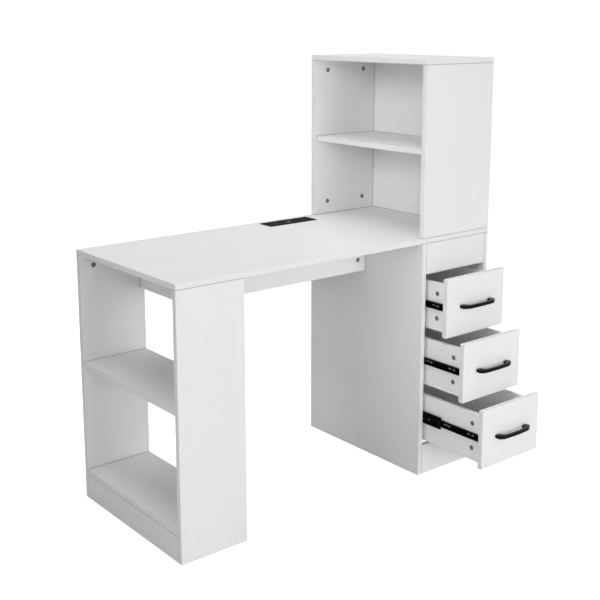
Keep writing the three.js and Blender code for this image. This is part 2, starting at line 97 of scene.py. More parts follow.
def make_camera():
    camera = bpy.data.objects.new("camera", bpy.data.cameras.new("camera"))
    bpy.context.scene.collection.objects.link(camera)
    camera.location = CAMERA_PLACE
    camera.rotation_euler = (radians(90 - CAMERA_PITCH), 0, radians(-CAMERA_YAW))
    camera.data.sensor_width = CAMERA_SENSOR
    camera.data.lens = CAMERA_LENS
    camera.data.shift_y = CAMERA_SHIFT
    bpy.context.scene.camera = camera


def make_lights():
    for name, (place, target, sides, power, spread) in LIGHTS.items():
        lamp = bpy.data.lights.new(name, "AREA")
        lamp.shape = "RECTANGLE"
        lamp.size, lamp.size_y = sides
        lamp.energy = power
        lamp.spread = radians(spread)
        light = bpy.data.objects.new(name, lamp)
        light.visible_camera = False
        bpy.context.scene.collection.objects.link(light)
        light.location = place
        light.rotation_euler = (Vector(target) - Vector(place)).to_track_quat("-Z", "Y").to_euler()


def make_world():
    """A plain studio: white to the eye, and an even soft light from all round."""
    world = bpy.data.worlds.new("studio")
    bpy.context.scene.world = world
    world.use_nodes = True
    tree = world.node_tree
    tree.nodes.clear()
    ray = tree.nodes.new("ShaderNodeLightPath")
    mix = tree.nodes.new("ShaderNodeMixShader")
    output = tree.nodes.new("ShaderNodeOutputWorld")
    tree.links.new(ray.outputs["Is Camera Ray"], mix.inputs["Fac"])
    for socket, strength in ((1, AMBIENT), (2, BACKDROP)):
        background = tree.nodes.new("ShaderNodeBackground")
        background.inputs["Color"].default_value = (1, 1, 1, 1)
        background.inputs["Strength"].default_value = strength
        tree.links.new(background.outputs["Background"], mix.inputs[socket])
    tree.links.new(mix.outputs["Shader"], output.inputs["Surface"])


def make_floor():
    mesh = bpy.data.meshes.new("studio_floor")
    corners = [(FLOOR_REACH * x, FLOOR_REACH * y, 0) for x, y in ((-1, -1), (1, -1), (1, 1), (-1, 1))]
    mesh.from_pydata(corners, [], [(0, 1, 2, 3)])
    floor = bpy.data.objects.new("studio_floor", mesh)
    bpy.context.scene.collection.objects.link(floor)
    floor.location.z = -FLOOR_DROP
    material = bpy.data.materials.new("studio_floor")
    material.use_nodes = True
    tree = material.node_tree
    shader = tree.nodes["Principled BSDF"]
    shader.inputs["Base Color"].default_value = grey(FLOOR_GREY)
    shader.inputs["Roughness"].default_value = 0.9
    shader.inputs["Specular IOR Level"].default_value = 0.1
    shader.inputs["Emission Color"].default_value = grey(1)
    ray = tree.nodes.new("ShaderNodeLightPath")
    glow = tree.nodes.new("ShaderNodeMath")
    glow.operation = "MULTIPLY"
    glow.inputs[1].default_value = FLOOR_GLOW
    tree.links.new(ray.outputs["Is Camera Ray"], glow.inputs[0])
    tree.links.new(glow.outputs["Value"], shader.inputs["Emission Strength"])
    mesh.materials.append(material)


def grey(level):
    return (level, level, level, 1)


make_camera()
make_world()
make_lights()
make_floor()
bpy.context.scene.view_settings.view_transform = "Standard"


# ---- Materials ---------------------------------------------------------------------------------------

LAMINATE_GREY = 0.9
BOX_PAINTED_LIGHT_GREY = 0.96               # the boards of the drawers' boxes, painted lighter than the other laminate to stand in for light in their shaded insides
HARDBOARD_GREY = 0.92
LAMINATE_STEPS = (0.37, 0.71, 0.53)     # how far each board moves its pattern, so that no two are alike
HARDBOARD_STEPS = (0.41, 0.67, 0.29)
# Painted shade in the joints: how far its occlusion lookup reaches, and how dark it paints the gap
CREVICE_SHADE_REACH = 2.4 * MM
CREVICE_SHADE_GREY = 0.4
COLOUR_A, COLOUR_B, COLOUR_RESULT = 6, 7, 2     # a Mix node's colour sockets
EASED_EDGE = 0.8 * MM         # as the CAD boards have
# Across a board's thickness: how many eased edges in from its face, and how light it is there
GLUE_LINE = ((1.15, 0.985), (0.95, 0.72), (0.6, 0.80), (0.3, 1.0))

GRAIN = {"x": ("desktop", "stretcher", "cabinet_kickboard", "cabinet_rear_rail"),
         "y": ("left_bottom_shelf", "left_middle_shelf", "left_outer_kickboard", "left_inner_kickboard",
               "left_top_rail", "hutch_top", "hutch_shelf")}
DRAWER_GRAIN = {"front": "z", "back": "x", "left_side": "y", "right_side": "y"}


class Nodes:
    """A material's node tree with short calls to add nodes and link them."""

    def __init__(self, name):
        self.material = bpy.data.materials.new(name)
        self.material.use_nodes = True
        self.tree = self.material.node_tree
        self.shader = self.tree.nodes["Principled BSDF"]
        self.place = self.add("TexCoord").outputs["Object"]

    def add(self, kind, **settings):
        node = self.tree.nodes.new("ShaderNode" + kind)
        for key, value in settings.items():
            if key in node.inputs:
                node.inputs[key].default_value = value
            else:
                setattr(node, key, value)
        return node

    def link(self, source, target):
        self.tree.links.new(source, target)

    def noise(self, scale, shift=(0, 0, 0), detail=3.0, roughness=0.5):
        """Noise whose cells are 1 / scale long on each axis."""
        mapping = self.add("Mapping", Scale=scale, Location=shift)
        self.link(self.place, mapping.inputs["Vector"])
        noise = self.add("TexNoise", Scale=1.0, Detail=detail, Roughness=roughness)
        self.link(mapping.outputs["Vector"], noise.inputs["Vector"])
        return noise.outputs["Fac"]

    def ramp(self, source, start, end, low=0.3, high=0.7):
        """Spreads a source's values from low to high over two greys; most noise is from 0.3 to 0.7."""
        ramp = self.add("ValToRGB")
        first, last = ramp.color_ramp.elements
        first.position, last.position = low, high
        first.color, last.color = grey(start), grey(end)
        self.link(source, ramp.inputs["Fac"])
        return ramp.outputs["Color"]

    def math(self, operation, source, value=0.0):
        node = self.add("Math", operation=operation)
        self.link(source, node.inputs[0])
        node.inputs[1].default_value = value
        return node.outputs["Value"]

    def multiply(self, one, other):
        mix = self.add("Mix", data_type="RGBA", blend_type="MULTIPLY")
        mix.inputs["Factor"].default_value = 1.0
        self.link(one, mix.inputs[COLOUR_A])
        self.link(other, mix.inputs[COLOUR_B])
        return mix.outputs[COLOUR_RESULT]

    def bump(self, height, distance, normal=None):
        bump = self.add("Bump", Distance=distance)
        self.link(height, bump.inputs["Height"])
        if normal is not None:
            self.link(normal, bump.inputs["Normal"])
        return bump.outputs["Normal"]

    def painted_crevice_shade(self):
        """Painted shade: a dark hairline where this face meets its neighbour, darkened by an ambient
        occlusion lookup.
        """
        shade = self.add("AmbientOcclusion", samples=8, Distance=CREVICE_SHADE_REACH)
        return self.ramp(shade.outputs["AO"], CREVICE_SHADE_GREY, 1.0, low=0.5, high=0.94)

    def finish(self, colour, roughness, normal, specular=0.5, metallic=0.0):
        self.link(colour, self.shader.inputs["Base Color"])
        self.link(roughness, self.shader.inputs["Roughness"])
        self.link(normal, self.shader.inputs["Normal"])
        self.shader.inputs["Specular IOR Level"].default_value = specular
        self.shader.inputs["Metallic"].default_value = metallic
        return self.material


def glue_line(made, node):
    """The fine darker line between a board's faces and its edging."""
    low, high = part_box(node)
    size = high - low
    axis = min(range(3), key=lambda i: size[i])
    half = size[axis] / 2
    split = made.add("SeparateXYZ")
    made.link(made.place, split.inputs["Vector"])
    away = made.math("ABSOLUTE", made.math("SUBTRACT", split.outputs[axis], low[axis] + half))
    line = made.add("ValToRGB")
    first, last = line.color_ramp.elements
    first.position, last.position = 0.0, 1.0
    first.color, last.color = grey(GLUE_LINE[0][1]), grey(GLUE_LINE[-1][1])
    for depth, level in GLUE_LINE:
        line.color_ramp.elements.new(1 - depth * EASED_EDGE / half).color = grey(level)
    made.link(made.math("DIVIDE", away, half), line.inputs["Fac"])
    return line.outputs["Color"]


def stretched(grain, along, across):
    """Noise scales that differ along the grain and across it."""
    return [along if axis == grain else across for axis in "xyz"]


def laminate(node, number, grain, level):
    """White melamine with a faint pressed wood grain along one axis."""
    made = Nodes("laminate_" + node)
    shift = [step * number for step in LAMINATE_STEPS]
    streaks = made.noise(stretched(grain, 2.2, 130), shift, detail=4.0, roughness=0.6)
    pores = made.noise(stretched(grain, 45, 900), shift, roughness=0.7)
    clouds = made.noise(stretched(grain, 2, 6), shift, detail=2.0)
    tone = made.ramp(streaks, level - 0.009, level + 0.009)
    # The last factor is painted shade in the joints, from an ambient occlusion lookup.
    for shade in (made.ramp(clouds, 0.985, 1.0), glue_line(made, node), made.painted_crevice_shade()):
        tone = made.multiply(tone, shade)
    relief = made.bump(streaks, 0.05 * MM)
    relief = made.bump(made.ramp(pores, 0, 1, low=0.35, high=0.6), 0.035 * MM, relief)
    return made.finish(tone, made.ramp(pores, 0.40, 0.54), relief, specular=0.35)


def hardboard(node, number):
    """White lacquered hardboard: a smooth face with a fine orange peel."""
    made = Nodes("hardboard_" + node)
    shift = [step * number for step in HARDBOARD_STEPS]
    peel = made.noise([420] * 3, shift)
    clouds = made.noise([7] * 3, shift, detail=2.0)
    tone = made.ramp(clouds, HARDBOARD_GREY - 0.012, HARDBOARD_GREY + 0.012)
    # The second factor is painted shade in the joints, from an ambient occlusion lookup.
    tone = made.multiply(tone, made.painted_crevice_shade())
    return made.finish(tone, made.ramp(peel, 0.45, 0.6), made.bump(peel, 0.02 * MM), specular=0.3)


def coated(name, level, roughness, cell, relief, specular=0.5, metallic=0.0):
    """A painted, cast or moulded finish: a fine speckle of a cell's size, and soft duller patches."""
    made = Nodes(name)
    speckle = made.noise([1 / cell] * 3)
    patches = made.noise([25] * 3, detail=4.0)
    dulled = made.ramp(patches, 0.85, 1.0)
    colour = made.multiply(made.ramp(speckle, level * 0.8, level * 1.2), dulled)
    gloss = made.multiply(made.ramp(speckle, roughness - 0.05, roughness + 0.05), dulled)
    return made.finish(colour, gloss, made.bump(speckle, relief), specular, metallic)


FINISHES = {
    "black_steel": coated("black_steel", 0.002, 0.30, 0.9 * MM, 0.01 * MM, specular=0.03),
    "black_alloy": coated("black_alloy", 0.002, 0.33, 0.5 * MM, 0.01 * MM, specular=0.14),
    "black_plastic": coated("black_plastic", 0.009, 0.5, 0.4 * MM, 0.02 * MM, specular=0.12),
    "grey_plastic": coated("grey_plastic", 0.3, 0.45, 0.4 * MM, 0.01 * MM, specular=0.4),
    "cam_zinc": coated("cam_zinc", 0.25, 0.55, 0.7 * MM, 0.03 * MM, specular=0.4, metallic=0.2),
    "bright_steel": coated("bright_steel", 0.45, 0.34, 0.3 * MM, 0.004 * MM, metallic=1.0),
}


def grain_of(node):
    if node.startswith("drawer_"):
        return DRAWER_GRAIN[node.split("_", 2)[2]]
    return next((axis for axis, members in GRAIN.items() if node in members), "z")


def dress_cad():
    for number, part in enumerate(frame["record"]["subparts"]):
        node, slot = part["node"], part["material_slot"]
        if slot == "white_laminate":
            # The drawers' box boards get a lighter grey. This is painted light for the drawers' shaded
            # insides.
            in_box = node.startswith("drawer_") and not node.endswith("_front")
            material = laminate(node, number, grain_of(node), BOX_PAINTED_LIGHT_GREY if in_box else LAMINATE_GREY)
        elif slot == "white_hardboard":
            material = hardboard(node, number)
        else:
            material = FINISHES[slot]
        nodes[node].data.materials.clear()
        nodes[node].data.materials.append(material)


dress_cad()


# ---- Mesh helpers ------------------------------------------------------------------------------------

SHARP = radians(35)           # faces that meet at more than this keep a crisp corner
AXIS_ORDER = {"x": (2, 0, 1), "y": (0, 2, 1), "z": (0, 1, 2)}   # where x, y and z are in (a, b, t)
PAST = 1 * MM                 # how far a cutter runs past what it cuts


def smoothed(mesh):
    mesh.shade_smooth()
    mesh.set_sharp_from_angle(angle=SHARP)
    return mesh


def mesh_of(name, form):
    """Turns a bmesh into a mesh with its faces outward."""
    bmesh.ops.recalc_face_normals(form, faces=form.faces)
    mesh = bpy.data.meshes.new(name)
    form.to_mesh(mesh)
    form.free()
    return smoothed(mesh)


def put(name, mesh, slot, body, place, outward=None):
    """Adds a copy of a mesh as a piece: its local +Z points outward, and it rides on a body."""
    piece = bpy.data.objects.new(name, mesh.copy())
    bpy.context.scene.collection.objects.link(piece)
    piece.data.materials.append(FINISHES[slot])
    turn = Matrix.Identity(4)
    if outward is not None:
        turn = Vector((0, 0, 1)).rotation_difference(Vector(outward)).to_matrix().to_4x4()
    piece.matrix_world = Matrix.Translation(Vector(place)) @ turn
    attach(piece, body)
    return piece


def prism(outline, axis, start, end):
    """A closed solid: an outline in the plane across an axis, swept from start to end along it."""
    form = bmesh.new()
    rings = [[form.verts.new([(a, b, t)[i] for i in AXIS_ORDER[axis]]) for a, b in outline]
             for t in (start, end)]
    count = len(outline)
    for i in range(count):
        j = (i + 1) % count
        form.faces.new((rings[0][i], rings[0][j], rings[1][j], rings[1][i]))
    form.faces.new(rings[0])
    form.faces.new(rings[1])
    return form


def lathe(profile, steps):
    """A closed solid of revolution about Z: (radius, height) points that start and end on the axis."""
    form = bmesh.new()
    rings = []
    for radius, height in profile:
        if radius == 0:
            rings.append([form.verts.new((0, 0, height))] * steps)
        else:
            angles = [2 * pi * i / steps for i in range(steps)]
            rings.append([form.verts.new((radius * cos(a), radius * sin(a), height)) for a in angles])
    for lower, upper in zip(rings, rings[1:]):
        for i in range(steps):
            j = (i + 1) % steps
            form.faces.new(list(dict.fromkeys((lower[i], lower[j], upper[j], upper[i]))))
    return form


def merge(forms):
    """Gathers several bmeshes into one."""
    whole = bmesh.new()
    for form in forms:
        mesh = bpy.data.meshes.new("gathered")
        form.to_mesh(mesh)
        form.free()
        whole.from_mesh(mesh)
        bpy.data.meshes.remove(mesh)
    return whole


def cut(mesh, cutters):
    """Takes cutters away from a mesh, and gives back the new mesh."""
    scratch = []
    for name, data in (("blank", mesh), ("cutters", mesh_of("cutters", merge(cutters)))):
        item = bpy.data.objects.new(name, data)
        bpy.context.scene.collection.objects.link(item)
        scratch.append(item)
    blank, tool = scratch
    modifier = blank.modifiers.new("cut", "BOOLEAN")
    modifier.operation, modifier.solver, modifier.object = "DIFFERENCE", "EXACT", tool
    bpy.context.view_layer.update()
    carved = bpy.data.meshes.new_from_object(blank.evaluated_get(bpy.context.evaluated_depsgraph_get()))
    for item in scratch:
        bpy.data.objects.remove(item)
    carved.materials.clear()
    return smoothed(carved)


def capsule(centre, length, width, upright=False, steps=8):
    """A slot's outline: straight sides and round ends, or a circle where the length is the width."""
    reach = (length - width) / 2
    points = []
    for side, first in ((1, -pi / 2), (-1, pi / 2)):
        for i in range(steps + 1):
            angle = first + pi * i / steps
            along, across = side * reach + width / 2 * cos(angle), width / 2 * sin(angle)
            points.append((across, along) if upright else (along, across))
    return [(centre[0] + a, centre[1] + b) for a, b in points]


# ---- Cam locks and screws ----------------------------------------------------------------------------

CAM_RADIUS, CAM_LENGTH = 7.3 * MM, 8.6 * MM
CAM_RIM = 0.5 * MM
CAM_RING = (0.80, 0.76, 0.60, 0.56)       # the sunk ring's radii, as shares of the cam's
CAM_RING_DEPTH = 0.45 * MM
CAM_CROSS, CAM_CROSS_WIDTH, CAM_CROSS_DEPTH = 8.4 * MM, 2.0 * MM, 3.2 * MM
CAM_SINK = 0.25 * MM          # its face is this far below the board's
CAM_INSET = 33 * MM           # from a joint to its cams' centres
HUTCH_FOOT_INSET = 42 * MM
UNIT_CAMS = (45 * MM, 165 * MM)           # across a panel of the left unit
HUTCH_CAMS = (57.5 * MM, 214.5 * MM)      # across a side of the hutch
RAIL_CAMS = (37.5 * MM, 87.5 * MM)        # up the rails under the desktop
DRAWER_CAMS = (-39 * MM, 37 * MM)         # from a slide's centre line
# Screw heads, as shares of their height and radius
HEAD_RIM, HEAD_SEAT = 0.35, 0.94
RECESS_LENGTH, RECESS_WIDTH = 1.25, 0.3


def cam_lock_mesh():
    """A cast cam seen end on: an eased rim, a sunk ring and a cross recess. Its face is at z = 0."""
    r, rim, sunk = CAM_RADIUS, CAM_RIM, -CAM_RING_DEPTH
    ring = [(r * share, height) for share, height in zip(CAM_RING, (0, sunk, sunk, 0))]
    body = lathe([(0, -CAM_LENGTH), (r - rim, -CAM_LENGTH), (r, rim - CAM_LENGTH), (r, -rim),
                  (r - rim, 0), *ring, (0, 0)], steps=36)
    mesh = mesh_of("cam_lock", body)
    for upright in (False, True):
        arm = capsule((0, 0), CAM_CROSS, CAM_CROSS_WIDTH, upright)
        mesh = cut(mesh, [prism(arm, "z", -CAM_CROSS_DEPTH, PAST)])
    return mesh


def screw_mesh(radius, height):
    """A pan head with a cross recess, seated on z = 0."""
    quarter = [pi / 2 * i / 6 for i in range(6)]
    dome = [(radius * cos(a), height * (HEAD_RIM + (1 - HEAD_RIM) * sin(a))) for a in quarter]
    profile = [(0, 0), (radius * HEAD_SEAT, 0), *dome, (0, height)]
    mesh = mesh_of("screw", lathe(profile, steps=28))
    for upright in (False, True):
        arm = capsule((0, 0), radius * RECESS_LENGTH, radius * RECESS_WIDTH, upright, steps=4)
        mesh = cut(mesh, [prism(arm, "z", height * HEAD_RIM, height + PAST)])
    return mesh


def offsets(start, steps):
    """Places at some steps from a start."""
    return [start + step for step in steps]


def inset_ends(box, axis):
    """The places of the cams at a board's two ends."""
    return [box[0][axis] + CAM_INSET, box[1][axis] - CAM_INSET]


def cam_rows():
    """Each board with cams: its node, its face's axis and side (0 low, 1 high), and its cams' places
    along the face and up it."""
    desktop, hutch_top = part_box("desktop"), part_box("hutch_top")
    rail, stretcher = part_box("left_top_rail"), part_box("stretcher")
    under_top = [desktop[0].z - CAM_INSET]
    hutch_z = [desktop[1].z + HUTCH_FOOT_INSET, hutch_top[0].z - CAM_INSET]
    unit_x = offsets(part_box("left_front_panel")[0].x, UNIT_CAMS)
    hutch_x = offsets(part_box("hutch_front_side")[0].x, HUTCH_CAMS)
    rail_z = offsets(rail[0].z, RAIL_CAMS)
    rows = [("left_front_panel", "y", 1, unit_x, under_top),
            ("left_back_panel", "y", 0, unit_x, under_top),
            ("left_top_rail", "x", 0, inset_ends(rail, 1), rail_z),
            ("stretcher", "y", 0, inset_ends(stretcher, 0), rail_z),
            ("hutch_front_side", "y", 1, hutch_x, hutch_z),
            ("hutch_back_side", "y", 0, hutch_x, hutch_z)]
    for number in DRAWERS:
        for face, side in enumerate(SIDES):
            node = f"drawer_{number}_{side}_side"
            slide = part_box(f"slide_{number}_{side}_inner")
            heights = offsets((slide[0].z + slide[1].z) / 2, DRAWER_CAMS)
            rows.append((node, "x", face, [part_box(node)[0].y + CAM_INSET], heights))
    return rows


def place_cams():
    """Fills each cam lock's pocket."""
    mesh = cam_lock_mesh()
    for node, axis, face, alongs, heights in cam_rows():
        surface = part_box(node)[face]["xyz".index(axis)]
        outward = Vector((1, 0, 0) if axis == "x" else (0, 1, 0)) * (1 if face else -1)
        spots = [(along, height) for along in alongs for height in heights]
        for count, (along, height) in enumerate(spots, 1):
            spot = Vector((surface, along, height) if axis == "x" else (along, surface, height))
            put(f"{node}_cam_{count}", mesh, "cam_zinc", nodes[node]["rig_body"],
                spot - outward * CAM_SINK, outward)


place_cams()


# ---- Telescopic slides -------------------------------------------------------------------------------
# Sections are drawn across the slide: x is the distance from the cabinet panel, towards the drawer, and z
# the height above the slide's centre line. Right slides are the left ones mirrored. Places along a slide
# are millimetres from a member's front end.

SHEET = 1.2 * MM
BEND = 1.5 * MM
OUTER_LIP = 1.4 * MM
MIDDLE_LIP, MIDDLE_RETURN = 3.1 * MM, 3.6 * MM
OUTER_WEB_STEP, MIDDLE_WEB_STEP = 0.35 * MM, 0.5 * MM   # the web's middle band, pressed inwards
OUTER_BAND, MIDDLE_BAND = (12 * MM, 10.5 * MM), (10.5 * MM, 9 * MM)     # the heights of its two bends
HOLE, SCREW_HOLE = 3.8, 4.4   # millimetres
SCREW_RADIUS, SCREW_HEIGHT = 3.3 * MM, 1.9 * MM
RIVET = ((0, 0), (2.2, 0), (1.9, 0.25), (1.1, 0.4), (0, 0.45))      # radius and height, in millimetres
RIVET_AT = 45
LEVER_AT = 277
INNER_SCREWS = (26, 119, 372)
# Holes and slots in the webs: place, length, and whether a slot is upright
INNER_HOLES = ((36, HOLE, False), (45, 7, False), (130, 7, False), (139, 6, True), (262, 12, False),
               (383, 7, False))
MIDDLE_HOLES = ((160, 12, False), (295, 12, False), (395, 5, False))
OUTER_HOLES = ((34, 6, False), (98, 9, False), (258, 9, False), (404, 6, False))
MIDDLE_NOTCH = capsule((-5 * MM, 0), 30 * MM, 21 * MM)  # in the middle member's front end

# The two ball races, between the middle and inner members and between the outer and middle ones, in
# millimetres: how far the cage's web, the tips of its flanges and the balls' centres are from the panel,
# the height of the rows of balls, the balls' radius and the cage's length
RACES = {"": (4.55, 10, 8.7, 11.85, 1.6, 70), "outer_": (1.92, 8, 6.4, 19.65, 1.45, 64)}
CAGE_SHEET = 0.5 * MM
CAGE_AT = 3
BALL_PITCH = 5.5 * MM
FIRST_BALL = 0.6              # pitches from the cage's end
BALL_MARGIN = 4 * MM          # how much shorter than its cage a row of balls is

# The release lever's side view, in millimetres: along it, and how far it rises towards the panel
LEVER_CREST = ((0, 0), (8, 0), (14, 1.6), (30, 1.6), (36, 0.4), (58, 0.4), (64, 1.2), (72, 1.2))
LEVER_FOOT, LEVER_THICKNESS, LEVER_HALF_WIDTH = 9.4 * MM, 1.1 * MM, 3.2 * MM


def rolled(path, radius, steps=5):
    """A bent strip's centre line: each inner corner of the path becomes a round bend."""
    points = [Vector(path[0])]
    for before, corner, after in zip(path, path[1:], path[2:]):
        corner = Vector(corner)
        back, ahead = Vector(before) - corner, Vector(after) - corner
        reach = min(radius, back.length * 0.49, ahead.length * 0.49)
        start, end = corner + back.normalized() * reach, corner + ahead.normalized() * reach
        for i in range(steps + 1):
            t = i / steps
            points.append(start * (1 - t) ** 2 + corner * 2 * t * (1 - t) + end * t ** 2)
    points.append(Vector(path[-1]))
    return points


def strip_section(path, thickness, radius):
    """The closed outline of a sheet strip that follows a path."""
    line = rolled(path, radius)
    near, far = [], []
    for i, point in enumerate(line):
        ahead = (line[min(i + 1, len(line) - 1)] - line[max(i - 1, 0)]).normalized()
        across = Vector((-ahead.y, ahead.x)) * thickness / 2
        near.append(tuple(point + across))
        far.append(tuple(point - across))
    return near + far[::-1]


def member_facts(number, side, member):
    """A member's start, on the cabinet panel at its front end and mid height, its near and far distances
    from the panel, its half height and its length."""
    low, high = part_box(f"slide_{number}_{side}_{member}")
    if side == "left":
        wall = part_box("cabinet_left_panel")[1].x
        near, far = low.x - wall, high.x - wall
    else:
        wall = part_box("cabinet_right_panel")[0].x
        near, far = wall - high.x, wall - low.x
    start = Vector((wall, low.y, (low.z + high.z) / 2))
    return start, near, far, (high.z - low.z) / 2, high.y - low.y


def folded(half):
    """A path drawn from its outer tip to the centre line, with its mirror image below."""
    return half + [(x, -z) for x, z in reversed(half)]


def web_path(near, top, step, band):
    """From a member's upper near corner down its stepped web to the centre line."""
    near += SHEET / 2
    return [(near, top - SHEET / 2), (near, band[0]), (near + step, band[1])]


def outer_path(near, far, top):
    s = SHEET / 2
    return folded([(far - s, top - SHEET - OUTER_LIP), (far - s, top - s)]
                  + web_path(near, top, OUTER_WEB_STEP, OUTER_BAND))


def middle_path(near, far, top):
    s = SHEET / 2
    race = top - s - MIDDLE_LIP
    return folded([(far - MIDDLE_RETURN, race), (far - s, race), (far - s, top - s)]
                  + web_path(near, top, MIDDLE_WEB_STEP, MIDDLE_BAND))


def inner_path(near, far, top):
    s = SHEET / 2
    return folded([(near, top - s), (far - s, top - s), (far - s, 0.5 * MM)])


def hole_outlines(holes):
    return [capsule((at * MM, 0), length * MM, HOLE * MM, upright) for at, length, upright in holes]


def mirrored_mesh(mesh):
    """The right slide's copy of a left slide's mesh."""
    form = bmesh.new()
    form.from_mesh(mesh)
    bmesh.ops.scale(form, vec=(-1, 1, 1), verts=form.verts)
    return mesh_of(mesh.name + "_right", form)


def member_mesh(side, member):
    """A rail with its holes, for all three drawers."""
    screw_holes = tuple((at, SCREW_HOLE, False) for at in INNER_SCREWS)
    path, holes = {
        "outer": (outer_path, hole_outlines(OUTER_HOLES)),
        "middle": (middle_path, hole_outlines(MIDDLE_HOLES) + [MIDDLE_NOTCH]),
        "inner": (inner_path, hole_outlines(INNER_HOLES + screw_holes)),
    }[member]
    _, near, far, top, length = member_facts(DRAWERS[0], side, member)
    web = far - SHEET if member == "inner" else near
    blank = mesh_of(member, prism(strip_section(path(near, far, top), SHEET, BEND), "y", 0, length))
    return cut(blank, [prism(hole, "x", web - PAST, web + SHEET + PAST) for hole in holes])


def cage_mesh(name, web, tip, level, length):
    """A ball cage: a thin folded strip whose two flanges hold a row of balls each."""
    path = folded([(tip, level), (web, level), (web, 1 * MM)])
    return mesh_of(name, prism(strip_section(path, CAGE_SHEET, 1 * MM), "y", 0, length))


def balls_mesh(name, x, level, radius, length):
    form = bmesh.new()
    for i in range(int(length / BALL_PITCH)):
        for height in (-level, level):
            spot = Matrix.Translation((x, (i + FIRST_BALL) * BALL_PITCH, height))
            bmesh.ops.create_uvsphere(form, u_segments=14, v_segments=9, radius=radius, matrix=spot)
    return mesh_of(name, form)


def lever_mesh():
    """The release lever: a thin sprung plastic tongue with a raised finger pad."""
    upper = [(LEVER_FOOT - rise * MM, along * MM) for along, rise in LEVER_CREST]
    lower = [(x + LEVER_THICKNESS, y) for x, y in upper]
    return mesh_of("lever", prism(upper + lower[::-1], "z", -LEVER_HALF_WIDTH, LEVER_HALF_WIDTH))


def slide_meshes(side):
    """The meshes that the three slides on a side share."""
    meshes = {member: member_mesh(side, member) for member in ("outer", "middle", "inner")}
    for race, sizes in RACES.items():
        web, tip, centre, level, radius, length = [size * MM for size in sizes]
        meshes[race + "cage"] = cage_mesh(race + "cage", web, tip, level, length)
        meshes[race + "balls"] = balls_mesh(race + "balls", centre, level, radius, length - BALL_MARGIN)
    meshes["lever"] = lever_mesh()
    if side == "right":
        meshes = {name: mirrored_mesh(mesh) for name, mesh in meshes.items()}
    return meshes


def dress_slide(number, side, meshes, screw, rivet):
    toward = 1 if side == "left" else -1
    outward = (-toward, 0, 0)
    slide, middle, drawer = f"slide_{number}_{side}", f"slide_middle_{number}", f"drawer_{number}"
    starts = {}
    for member, body in (("outer", "desk"), ("middle", middle), ("inner", drawer)):
        start, near, far, _, _ = member_facts(number, side, member)
        starts[member] = start
        rail = put(f"{slide}_{member}_rail", meshes[member], "black_steel", body, start)
        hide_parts(f"{slide}_{member}")
        if member == "middle":
            spot = start + Vector((toward * (near + MIDDLE_WEB_STEP), RIVET_AT * MM, 0))
            put(f"{slide}_rivet", rivet, "bright_steel", body, spot, outward)
        if member == "inner":
            for count, at in enumerate(INNER_SCREWS, 1):
                spot = start + Vector((toward * (far - SHEET), at * MM, 0))
                put(f"{slide}_screw_{count}", screw, "bright_steel", body, spot, outward)
    for name, slot, body, member, at in (("cage", "black_plastic", middle, "middle", CAGE_AT),
                                         ("balls", "bright_steel", middle, "middle", CAGE_AT),
                                         ("outer_cage", "black_steel", "desk", "outer", CAGE_AT),
                                         ("outer_balls", "bright_steel", "desk", "outer", CAGE_AT),
                                         ("lever", "black_plastic", drawer, "inner", LEVER_AT)):
        put(f"{slide}_{name}", meshes[name], slot, body, starts[member] + Vector((0, at * MM, 0)))


def dress_slides():
    screw = screw_mesh(SCREW_RADIUS, SCREW_HEIGHT)
    rivet = mesh_of("rivet", lathe([(radius * MM, height * MM) for radius, height in RIVET], steps=20))
    meshes = {side: slide_meshes(side) for side in SIDES}
    for number in DRAWERS:
        for side in SIDES:
            dress_slide(number, side, meshes[side], screw, rivet)


dress_slides()


# ---- Handles and their screws ------------------------------------------------------------------------

HANDLE_FOOT = 17 * MM         # a foot's width along the handle
HANDLE_BAR, HANDLE_BOW = 7.5 * MM, 2 * MM
HANDLE_EASE = 1.7 * MM
HANDLE_SCREW = 8 * MM         # from the handle's end to the screw's centre
HANDLE_WAIST = 0.94           # the bar's height at its middle, as a share of its ends'
HANDLE_SOLE = 0.95            # a foot's height at the drawer, as a share of its full height
HANDLE_FULL = 13 * MM         # how far out a foot reaches its full height
PULL_SCREW = (4.0 * MM, 2.4 * MM)       # radius and height
BACK_SCREW = (3.6 * MM, 0.9 * MM)
BACK_SCREW_SINK = 0.5 * MM
BACK_SCREWS_AT = (0.2, 0.8)   # shares of the drawer back's height


def quadratic(start, control, end, steps):
    """A curve's points after its start, up to and with its end."""
    a, b, c = Vector(start), Vector(control), Vector(end)
    return [tuple(a * (1 - t) ** 2 + b * 2 * t * (1 - t) + c * t ** 2)
            for t in ((i + 1) / steps for i in range(steps))]


def flipped(points):
    """A half's mirror image, from the middle back to its start."""
    return [(-x, y) for x, y in reversed(points)]


